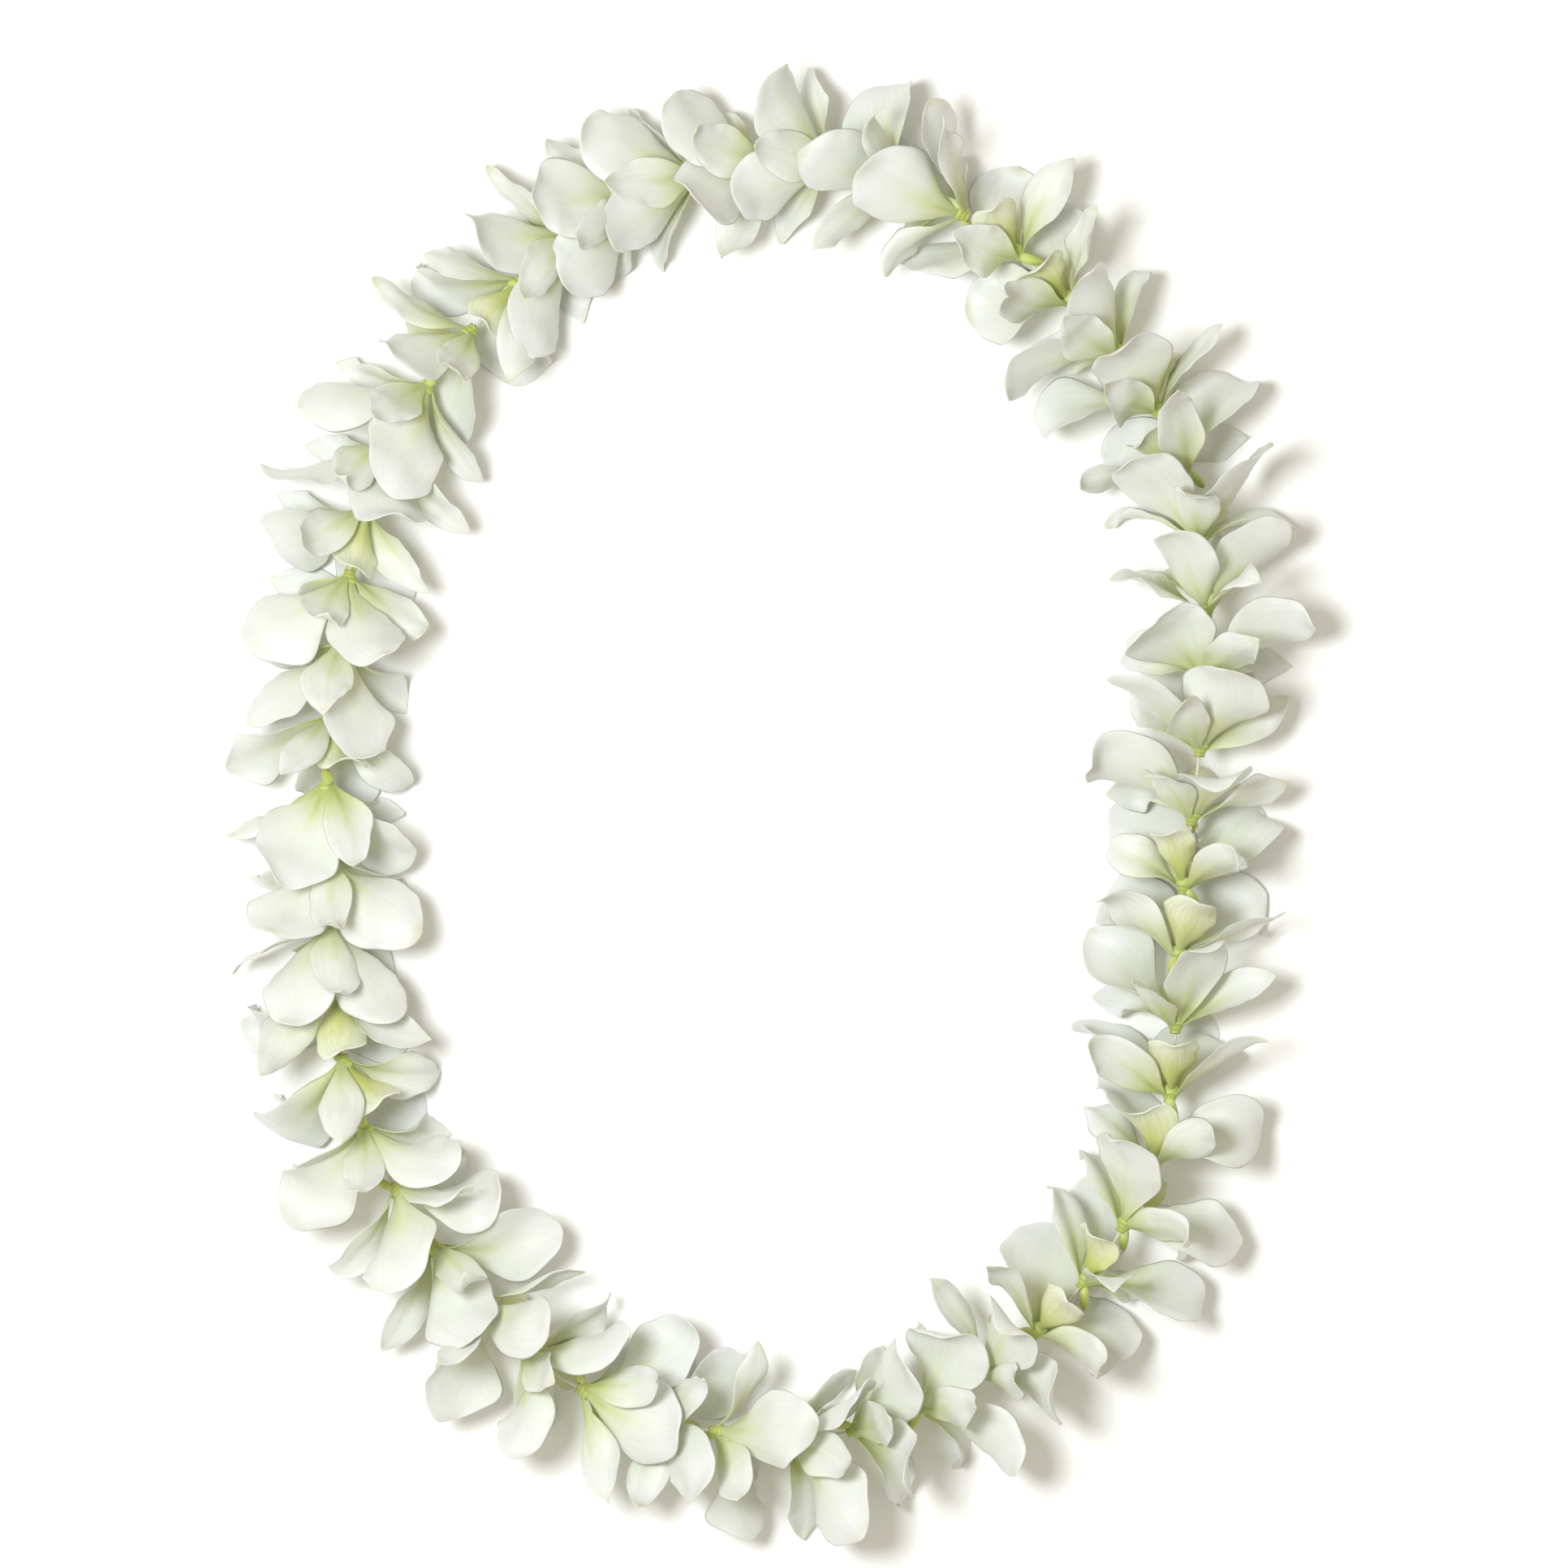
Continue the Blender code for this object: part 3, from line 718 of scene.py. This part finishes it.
# Living petal tissue: a waxy skin over wet cells that let light through, with faint veins
# along the blade, a cream or green cast from bloom to bloom, edges that have begun to brown
# in places, and a fine crystalline grain.
def petalMaterial(name, stops, veins, veinColour, veinShare):
    look, tree, shader = startMaterial(name)
    attribute = addNode(tree, "Attribute", attribute_name="blade")
    place = addNode(tree, "SeparateXYZ", {"Vector": attribute.outputs["Vector"]})
    across, along, tone = (place.outputs[k] for k in "XYZ")
    coords = addNode(tree, "TexCoord")
    clouds = addNode(tree, "TexNoise", {"Vector": coords.outputs["Object"],
                                        "Scale": 1 / petalSkin["clouds"], "Detail": 3.0})
    drift = addNode(tree, "MapRange", {"Value": clouds.outputs["Fac"], "From Min": 0.3,
                                       "From Max": 0.7, "To Min": -petalSkin["drift"],
                                       "To Max": petalSkin["drift"]})
    side = addNode(tree, "Math", {0: across}, operation="ABSOLUTE")
    halfRib, ribReach = petalSkin["midrib"]
    midrib = addNode(tree, "MapRange", {"Value": side.outputs[0], "From Max": halfRib,
                                        "To Min": -ribReach, "To Max": 0.0})
    past = addNode(tree, "Math", {0: along, 1: midrib.outputs["Result"]}, operation="ADD")
    reach = addNode(tree, "Math", {0: past.outputs[0], 1: drift.outputs["Result"]},
                    operation="ADD")
    blend = addNode(tree, "ValToRGB", {"Fac": reach.outputs[0]}, stops=stops)
    cast = addNode(tree, "Math", {0: tone, 1: petalSkin["cast"]}, operation="MULTIPLY")
    body = addNode(tree, "Mix", {"Factor": cast.outputs[0], "A": blend.outputs["Color"],
                                 "B": linear(petalSkin["castColour"])}, data_type="RGBA")
    stretch = addNode(tree, "Math", {0: across, 1: float(veins)}, operation="MULTIPLY")
    slow = addNode(tree, "Math", {0: along, 1: petalSkin["veinBreaks"]}, operation="MULTIPLY")
    apart = addNode(tree, "Math", {0: tone, 1: 40.0}, operation="MULTIPLY")  # blades differ
    streak = addNode(tree, "CombineXYZ", {"X": stretch.outputs[0], "Y": slow.outputs[0],
                                          "Z": apart.outputs[0]})
    strands = addNode(tree, "TexNoise", {"Vector": streak.outputs[0], "Scale": 1.3,
                                         "Detail": 5.0, "Roughness": 0.7})
    veinMask = addNode(tree, "MapRange", {"Value": strands.outputs["Fac"], "From Min": 0.45,
                                          "From Max": 0.7})
    veinFac = addNode(tree, "Math", {0: veinMask.outputs["Result"], 1: veinShare},
                      operation="MULTIPLY")
    veined = addNode(tree, "Mix", {"Factor": veinFac.outputs[0], "A": body.outputs["Result"],
                                   "B": linear(veinColour)}, data_type="RGBA")
    outer = addNode(tree, "Math", {0: side.outputs[0], 1: along}, operation="MAXIMUM")
    edge = addNode(tree, "MapRange", {"Value": outer.outputs[0], "From Min": petalSkin["edge"],
                                      "From Max": 1.0})
    patches = addNode(tree, "MapRange", {"Value": clouds.outputs["Fac"], "From Min": 0.52,
                                         "From Max": 0.66, "To Max": petalSkin["browned"]})
    browning = addNode(tree, "Math", {0: edge.outputs["Result"], 1: patches.outputs["Result"]},
                       operation="MULTIPLY")
    aged = addNode(tree, "Mix", {"Factor": browning.outputs[0], "A": veined.outputs["Result"],
                                 "B": linear(petalSkin["brown"])}, data_type="RGBA")
    tree.links.new(aged.outputs["Result"], shader.inputs["Base Color"])
    shader.inputs["Roughness"].default_value = 0.46
    shader.inputs["IOR"].default_value = 1.42
    shader.inputs["Subsurface Weight"].default_value = 0.3
    shader.inputs["Subsurface Radius"].default_value = (1.0, 1.0, 0.85)
    shader.inputs["Subsurface Scale"].default_value = 1.0 * mm
    shader.inputs["Sheen Weight"].default_value = 0.1
    cells = addNode(tree, "TexNoise", {"Vector": coords.outputs["Object"],
                                       "Scale": 1 / petalSkin["cells"], "Detail": 2.0})
    height = addNode(tree, "Math", {0: veinMask.outputs["Result"], 1: cells.outputs["Fac"]},
                     operation="ADD")
    bump = addNode(tree, "Bump", {"Strength": 0.2, "Distance": 0.12 * mm,
                                  "Height": height.outputs[0]})
    tree.links.new(bump.outputs["Normal"], shader.inputs["Normal"])
    return look


# Fleshy green stalk tissue, yellower and browner at its picked end, faintly pitted.
def stalkMaterial():
    look, tree, shader = startMaterial("orchidStalk")
    attribute = addNode(tree, "Attribute", attribute_name="blade")
    place = addNode(tree, "SeparateXYZ", {"Vector": attribute.outputs["Vector"]})
    tint = addNode(tree, "ValToRGB", {"Fac": place.outputs["Y"]},
                   stops=[(0.0, "#6E6A35"), (0.07, "#98A23F"), (0.45, "#B2BF58"), (1.0, "#D2DA94")])
    coords = addNode(tree, "TexCoord")
    specks = addNode(tree, "TexNoise", {"Vector": coords.outputs["Object"],
                                        "Scale": 1 / (1.5 * mm), "Detail": 3.0})  # pits
    share = addNode(tree, "Math", {0: specks.outputs["Fac"], 1: 0.5}, operation="MULTIPLY")
    mixed = addNode(tree, "Mix", {"Factor": share.outputs[0], "A": tint.outputs["Color"],
                                  "B": linear("#C9D58A")}, data_type="RGBA")
    tree.links.new(mixed.outputs["Result"], shader.inputs["Base Color"])
    shader.inputs["Roughness"].default_value = 0.45
    shader.inputs["Subsurface Weight"].default_value = 0.3
    shader.inputs["Subsurface Scale"].default_value = 1.5 * mm
    bump = addNode(tree, "Bump", {"Strength": 0.3, "Distance": 0.1 * mm,
                                  "Height": specks.outputs["Fac"]})
    tree.links.new(bump.outputs["Normal"], shader.inputs["Normal"])
    return look


# The column's smooth wax, green at its foot and ivory at its cap.
def columnMaterial():
    look, tree, shader = startMaterial("orchidColumn")
    attribute = addNode(tree, "Attribute", attribute_name="blade")
    place = addNode(tree, "SeparateXYZ", {"Vector": attribute.outputs["Vector"]})
    tint = addNode(tree, "ValToRGB", {"Fac": place.outputs["Y"]},
                   stops=[(0.0, "#C2CF6C"), (0.5, "#E3E8B8"), (0.8, "#F3F4E4"), (1.0, "#F7F6EA")])
    tree.links.new(tint.outputs["Color"], shader.inputs["Base Color"])
    shader.inputs["Roughness"].default_value = 0.38
    shader.inputs["Subsurface Weight"].default_value = 0.3
    shader.inputs["Subsurface Scale"].default_value = 1.5 * mm
    return look


# Damp cotton thread: matt fibres twisted in plies. The fibres are drawn coarser than real
# ones, 0.25 mm, so that they show.
def threadMaterial():
    look, tree, shader = startMaterial("cottonThread")
    coords = addNode(tree, "TexCoord")
    fibres = addNode(tree, "TexNoise", {"Vector": coords.outputs["Object"],
                                        "Scale": 1 / (0.25 * mm), "Detail": 3.0})
    tint = addNode(tree, "ValToRGB", {"Fac": fibres.outputs["Fac"]},
                   stops=[(0.3, "#CFCBB4"), (0.7, "#EDEADB")])
    tree.links.new(tint.outputs["Color"], shader.inputs["Base Color"])
    shader.inputs["Roughness"].default_value = 0.85
    bump = addNode(tree, "Bump", {"Strength": 0.4, "Distance": 0.05 * mm,
                                  "Height": fibres.outputs["Fac"]})
    tree.links.new(bump.outputs["Normal"], shader.inputs["Normal"])
    return look


stage = {
    "floor": "#FAFAF8",
    "floorSize": 3,  # from the middle to each side
    "key": {"place": (-0.42, 0.08, 1.3), "size": 0.4, "watts": 15.0, "tint": "#F3F7FF"},
    "sky": {"strength": 0.61, "tint": "#FFF9E9"},
    "view": 0.483,  # metres across the picture at the lei
    "middle": (0.005, 0.0065),  # what the camera looks at
    "height": 3.0,  # of the camera above the string
    "sensor": 36,  # millimetres
}


# Matt white paper, so the lei's soft shadows show and nothing mirrors it.
def buildFloor():
    bm = bmesh.new()
    bmesh.ops.create_grid(bm, x_segments=1, y_segments=1, size=stage["floorSize"])
    look, _, shader = startMaterial("paper")
    shader.inputs["Base Color"].default_value = linear(stage["floor"])
    shader.inputs["Roughness"].default_value = 0.9
    shader.inputs["Specular IOR Level"].default_value = 0.1
    finishMesh(bm, "floor", [look], (0, 0, 0))


# A small soft lamp from the left for the shadows, and an even pale sky that fills them.
def buildLight():
    lamp = bpy.data.lights.new("key", "AREA")
    lamp.shape = "DISK"
    lamp.size = stage["key"]["size"]
    lamp.energy = stage["key"]["watts"]
    lamp.color = linear(stage["key"]["tint"])[:3]
    key = bpy.data.objects.new("key", lamp)
    key.location = stage["key"]["place"]
    key.rotation_euler = (-Vector(stage["key"]["place"])).to_track_quat("-Z", "Y").to_euler()
    bpy.context.scene.collection.objects.link(key)
    world = bpy.data.worlds.new("studio")
    world.use_nodes = True
    sky = world.node_tree.nodes["Background"]
    sky.inputs["Color"].default_value = linear(stage["sky"]["tint"])
    sky.inputs["Strength"].default_value = stage["sky"]["strength"]
    bpy.context.scene.world = world


# Looks straight down from far enough away that near petals don't loom.
def buildCamera():
    eye = bpy.data.cameras.new("camera")
    eye.sensor_width = stage["sensor"]
    eye.lens = stage["sensor"] * stage["height"] / stage["view"]
    eye.clip_end = 20
    camera = bpy.data.objects.new("camera", eye)
    camera.location = (*stage["middle"], stage["height"] + lei["stringHeight"])
    bpy.context.scene.collection.objects.link(camera)
    bpy.context.scene.camera = camera
    bpy.context.scene.view_settings.view_transform = "Standard"


# How far the solids' frame is from the one that the blooms are drawn in.
def findShift(points):
    bm = bmesh.new()
    tube(bm, points, lei["stringRadius"], lei["stringSides"], True)
    low = [min(v.co[k] for v in bm.verts) for k in (0, 1)]
    bm.free()
    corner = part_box("string")[0]
    return Vector((corner.x - low[0], corner.y - low[1], 0))


# Says how far the fine blooms' boxes are from the solids' at most.
def compareWithSolids():
    worst = 0.0
    for i in range(lei["blooms"]):
        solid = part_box(f"bloom_{i + 1:02d}")
        own = bpy.data.objects[f"orchid_{i + 1:02d}"].data.vertices
        for k in range(3):
            worst = max(worst, abs(min(v.co[k] for v in own) - solid[0][k]),
                        abs(max(v.co[k] for v in own) - solid[1][k]))
    print(f"largest difference from the solids' boxes {worst / mm:.2f} mm")


def main():
    points = loopPoints(lei["blooms"] * lei["pointsPerBloom"])
    blooms = planBlooms(points)
    shift = findShift(points)
    print("blooms drawn")
    looks = [petalMaterial(name, **look) for name, look in petalLooks.items()]
    looks += [stalkMaterial(), columnMaterial()]
    for i, bloom in enumerate(blooms):
        buildFineBloom(i + 1, bloom, looks, shift)
    print("blooms built")
    buildThread(points, threadMaterial(), shift)
    print("thread built")
    compareWithSolids()
    buildFloor()
    buildLight()
    buildCamera()


main()
